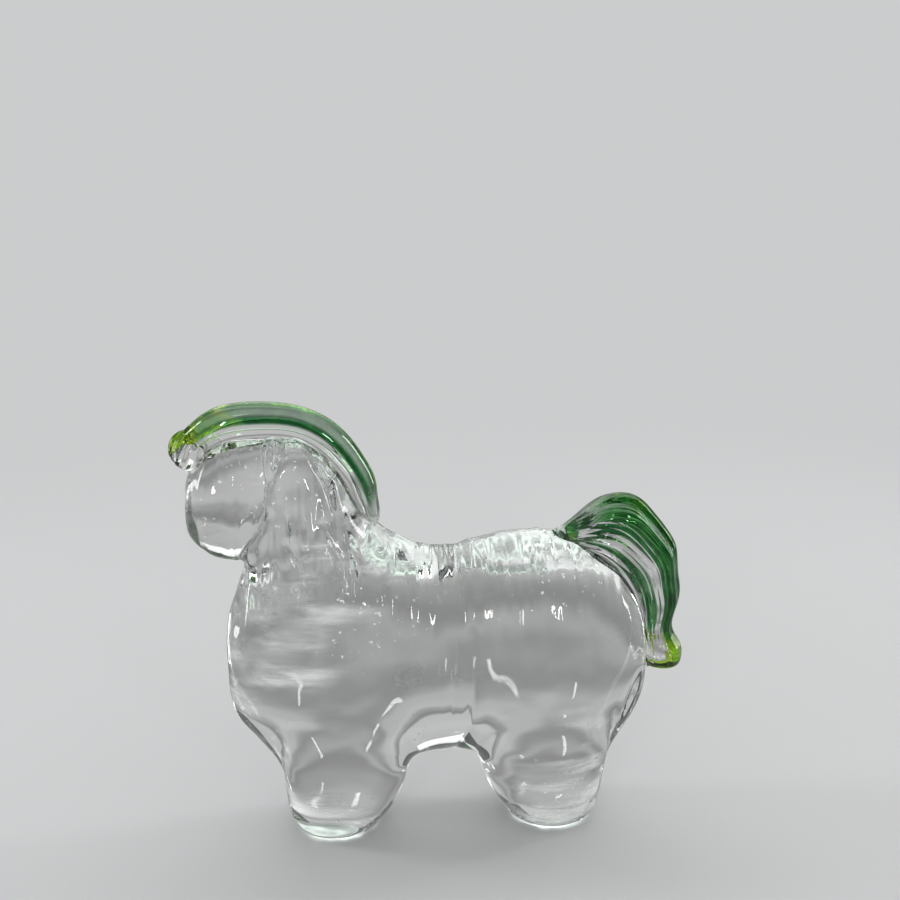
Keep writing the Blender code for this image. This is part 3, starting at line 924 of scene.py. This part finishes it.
class HORSE_OT_tail(bpy.types.Operator):
    """Drop the ribbed tail on the croup and draw it down, with its green skin"""
    bl_idname = "horse.tail"
    bl_label = "Tail"

    def execute(self, context):
        tail = context.scene.horse_tail
        skin_depth = context.scene.horse_glass.skin_thickness
        body = bpy.data.objects["body_glass"]
        steps, foot_flare = 30, 0.35
        facets_on_rib = 24
        dome_steps, dome_depth, dome_angle = 3, 1.2 * MM, math.radians(2)
        striped_from, striped_to = 0.12, 0.84
        green_root, stripe_fade, lime_tip = (0.08, 0.15), (0.84, 0.76), (0.78, 0.9)
        tip_thickness, tip_height = tail.tip
        # Share of the trail, with its thickness and height there
        stops = [
            (0, *tail.root),
            (0.21, *tail.full),
            (0.45, *tail.middle),
            (0.62, *tail.lower),
            (0.83, *tail.pinch),
            (0.94, tip_thickness, tip_height),
            (1, tip_thickness * 0.86, tip_height * 0.94),
        ]
        route = trail_route(body, RUMP_PIVOT, (tail.top_angle, tail.tip_angle + dome_angle), steps,
                            stops, skin_depth / 2)
        route = round_end(route, dome_steps, dome_depth)
        radius = tail.full[0] / 2
        ribs = (Ribs(tail.ribs, tail.rib_depth / radius),
                Ribs(tail.ribs * tail.flutes, tail.flute_depth / radius))
        core = lay_trail("tail_glass", route, facets_on_rib * tail.ribs, tail.foot_angle, foot_flare,
                         ribs)
        rib = 2 * math.pi / tail.ribs
        self.smooth_ends(core, route, tail.foot_angle)
        route = with_halfway(route)

        stripe_thinness = 0.1
        # Share of the trail, and of the way down its side, with how thin the green is there
        along_tail = [(0, 0.4), (0.3, 0.45), (0.42, 0.2), (1, 0.2)]
        down_tail = [(0, 0.6), (0.35, 0.5), (0.6, 0), (2, 0)]

        def off_groove(turn):
            return abs((turn / rib - 0.5) - round(turn / rib - 0.5)) * rib

        def covered(middle):
            at, turn = place_on_route(route, middle)
            striped = off_groove(turn) < tail.stripe_half_angle and striped_from < at < striped_to
            on_dome = at == 1
            return turn < tail.skin_half_angle or (striped or on_dome) and turn < tail.foot_angle

        def tint(place):
            at, turn = place_on_route(route, place)
            root = ease(at, *green_root)
            if turn > tail.skin_half_angle and at < 1:
                return stripe_thinness, root * ease(at, *stripe_fade)
            tip = ease(at, *lime_tip)
            dome = soft_stop(along_tail, at)[0]
            ridge = soft_stop(down_tail, turn / tail.skin_half_angle)[0]
            return max(tip, dome, ridge), root

        skin = lay_skin(core, "tail_green_skin", covered)
        for piece in (core, skin):
            subdivide(piece, 1)
            seat_on(piece, body)
        tint_skin(skin, tint)
        finish_piece(core, trail_glass("clear_tail_glass"), "clear_glass", "tail_trail")
        finish_piece(skin, green_glass("green_tail_glass"), "green_glass", "tail_green_overlay")
        return {"FINISHED"}

    def smooth_ends(self, core, route, foot_angle):
        """Let the ribs die away where the tail is pulled from the croup and pinched off."""
        ribs_rise, ribs_fall = (0.02, 0.2), (1, 0.84)
        for vert in core.data.vertices:
            station = station_at(route, vert.co)
            at, turn = place_on_route([station], vert.co)
            if turn < foot_angle:
                arm = vert.co - station.centre
                round_arm = arm.normalized() * station.radius
                ribbed = ease(at, *ribs_rise) * ease(at, *ribs_fall)
                vert.co = station.centre + round_arm.lerp(arm, ribbed)


class HORSE_OT_stage(bpy.types.Operator):
    """Set out the floor, the lights and the camera"""
    bl_idname = "horse.stage"
    bl_label = "Stage"

    def execute(self, context):
        stage = context.scene.horse_stage
        self.floor(stage)
        for name, box in SOFTBOXES.items():
            self.softbox(name, box)
        self.room(context, stage)
        self.camera(context, stage)
        context.scene.view_settings.view_transform = "Standard"
        return {"FINISHED"}

    def floor(self, stage):
        """One sheet that runs along the floor and curves up behind."""
        width, front, back, rise, bend = 1.6, -0.5, 0.9, 1.4, 0.5
        clearance = 0.05 * MM
        bend_steps = 16
        bpy.ops.mesh.primitive_plane_add(size=1)
        sheet = bpy.context.object
        sheet.name = "floor_sheet"
        sheet.scale = (width, back - front, 1)
        sheet.location = (0, (back + front) / 2, -clearance)
        apply_place(sheet)
        edit_mode(sheet)
        bpy.ops.mesh.select_mode(type="EDGE")
        bm = bmesh.from_edit_mesh(sheet.data)
        for edge in bm.edges:
            edge.select_set(all(vert.co.y > back - WELD for vert in edge.verts))
        bmesh.update_edit_mesh(sheet.data)
        bpy.ops.mesh.spin(steps=bend_steps, angle=-math.radians(90), center=(0, back, bend),
                          axis=(1, 0, 0))
        bpy.ops.mesh.extrude_region_move(TRANSFORM_OT_translate={"value": (0, 0, rise - bend)})
        object_mode()
        pick(sheet)
        bpy.ops.object.shade_smooth()
        sheet.data.materials.append(self.sheet_paper(stage))

    def sheet_paper(self, stage):
        """Matt paper that looks evenly pale away from the horse and holds its shadow near it, and
        shows glass painted light and shade in rings round the horse.
        """
        paper = bpy.data.materials.new("pale_sheet")
        nodes = Nodes(paper)
        matt = nodes.tree.nodes["Principled BSDF"]
        nodes.fill(matt, Base_Color=(*stage.floor, 1), Roughness=stage.paper_roughness)
        away = nodes.add("ShaderNodeVectorMath", nodes.place())
        away.operation = "LENGTH"
        away = away.outputs["Value"]
        straight, mirrored = nodes.seen_rays()
        # Painted light and shade: rays mirrored by or sent through glass see the painted tones by
        # distance, and the camera sees the sheet evenly pale far away
        shade = nodes.blend(mirrored, (*stage.floor, 1), nodes.tones(away, PAINTED_GLASS_TONES))
        pale_and_painted_tone = nodes.add("ShaderNodeEmission", Color=shade)
        faded = nodes.math("MULTIPLY", nodes.between(away, stage.near, stage.far), straight)
        nodes.show_mixed("Material Output", nodes.math("MAXIMUM", faded, mirrored),
                         matt.outputs["BSDF"], pale_and_painted_tone.outputs["Emission"])
        return paper

    def softbox(self, name, box):
        """A rectangular softbox aimed at the middle of the horse."""
        lamp = bpy.data.lights.new(name, "AREA")
        lamp.shape = "RECTANGLE"
        lamp.size, lamp.size_y = box.size
        lamp.energy = box.power
        stand = bpy.data.objects.new(name, lamp)
        bpy.context.scene.collection.objects.link(stand)
        stand.location = box.place
        aim = MIDDLE - Vector(box.place)
        stand.rotation_euler = aim.to_track_quat("-Z", "Y").to_euler()
        stand.visible_camera = False

    def room(self, context, stage):
        """A plain room: pale all round to the camera, dim as a light, and painted dark overhead
        where glass mirrors it or is seen through.
        """
        room = bpy.data.worlds.new("studio_room")
        nodes = Nodes(room)
        lit = nodes.tree.nodes["Background"]
        nodes.fill(lit, Color=(1, 1, 1, 1), Strength=stage.room_light)
        straight, mirrored = nodes.seen_rays()
        # Painted shade: rays mirrored by or sent through glass see the dark room colour, not the
        # light it gives
        shade = nodes.blend(mirrored, (*stage.floor, 1), (*stage.room, 1))
        seen = nodes.add("ShaderNodeBackground", Color=shade)
        nodes.show_mixed("World Output", nodes.math("MAXIMUM", straight, mirrored),
                         lit.outputs["Background"], seen.outputs["Background"])
        context.scene.world = room

    def camera(self, context, stage):
        """The camera at the viewing angle of the reference view."""
        lens = bpy.data.cameras.new("camera")
        lens.lens = stage.lens
        lens.sensor_width = 36
        camera = bpy.data.objects.new("camera", lens)
        camera.location = stage.camera
        camera.rotation_euler = (math.radians(90) - stage.camera_pitch, 0, -stage.camera_yaw)
        context.scene.collection.objects.link(camera)
        context.scene.camera = camera


class HORSE_PT_panel(bpy.types.Panel):
    """Lists the figurine's pieces and settings in the sidebar"""
    bl_label = "Glass Horse"
    bl_idname = "HORSE_PT_panel"
    bl_space_type = "VIEW_3D"
    bl_region_type = "UI"
    bl_category = "Glass Horse"

    def draw(self, context):
        for piece in OPERATORS:
            self.layout.operator(piece.bl_idname)
        for name, group in SETTINGS.items():
            box = self.layout.box()
            box.label(text=group.__doc__)
            for setting in group.__annotations__:
                box.prop(getattr(context.scene, name), setting)


SETTINGS = {
    "horse_body": HorseBodySettings,
    "horse_mane": HorseManeSettings,
    "horse_knob": HorseKnobSettings,
    "horse_tail": HorseTailSettings,
    "horse_glass": HorseGlassSettings,
    "horse_stage": HorseStageSettings,
}
OPERATORS = (HORSE_OT_body, HORSE_OT_knob, HORSE_OT_mane, HORSE_OT_tail, HORSE_OT_stage)


def register():
    """Register the settings, operators and panel."""
    for cls in (*SETTINGS.values(), *OPERATORS, HORSE_PT_panel):
        bpy.utils.register_class(cls)
    for name, group in SETTINGS.items():
        setattr(bpy.types.Scene, name, PointerProperty(type=group))


def unregister():
    """Remove what register added."""
    for name in SETTINGS:
        delattr(bpy.types.Scene, name)
    for cls in reversed((*SETTINGS.values(), *OPERATORS, HORSE_PT_panel)):
        bpy.utils.unregister_class(cls)


def main():
    """Make every piece and the stage."""
    register()
    bpy.ops.horse.body()
    bpy.ops.horse.knob()
    bpy.ops.horse.mane()
    bpy.ops.horse.tail()
    bpy.ops.horse.stage()


if __name__ == "__main__":
    main()
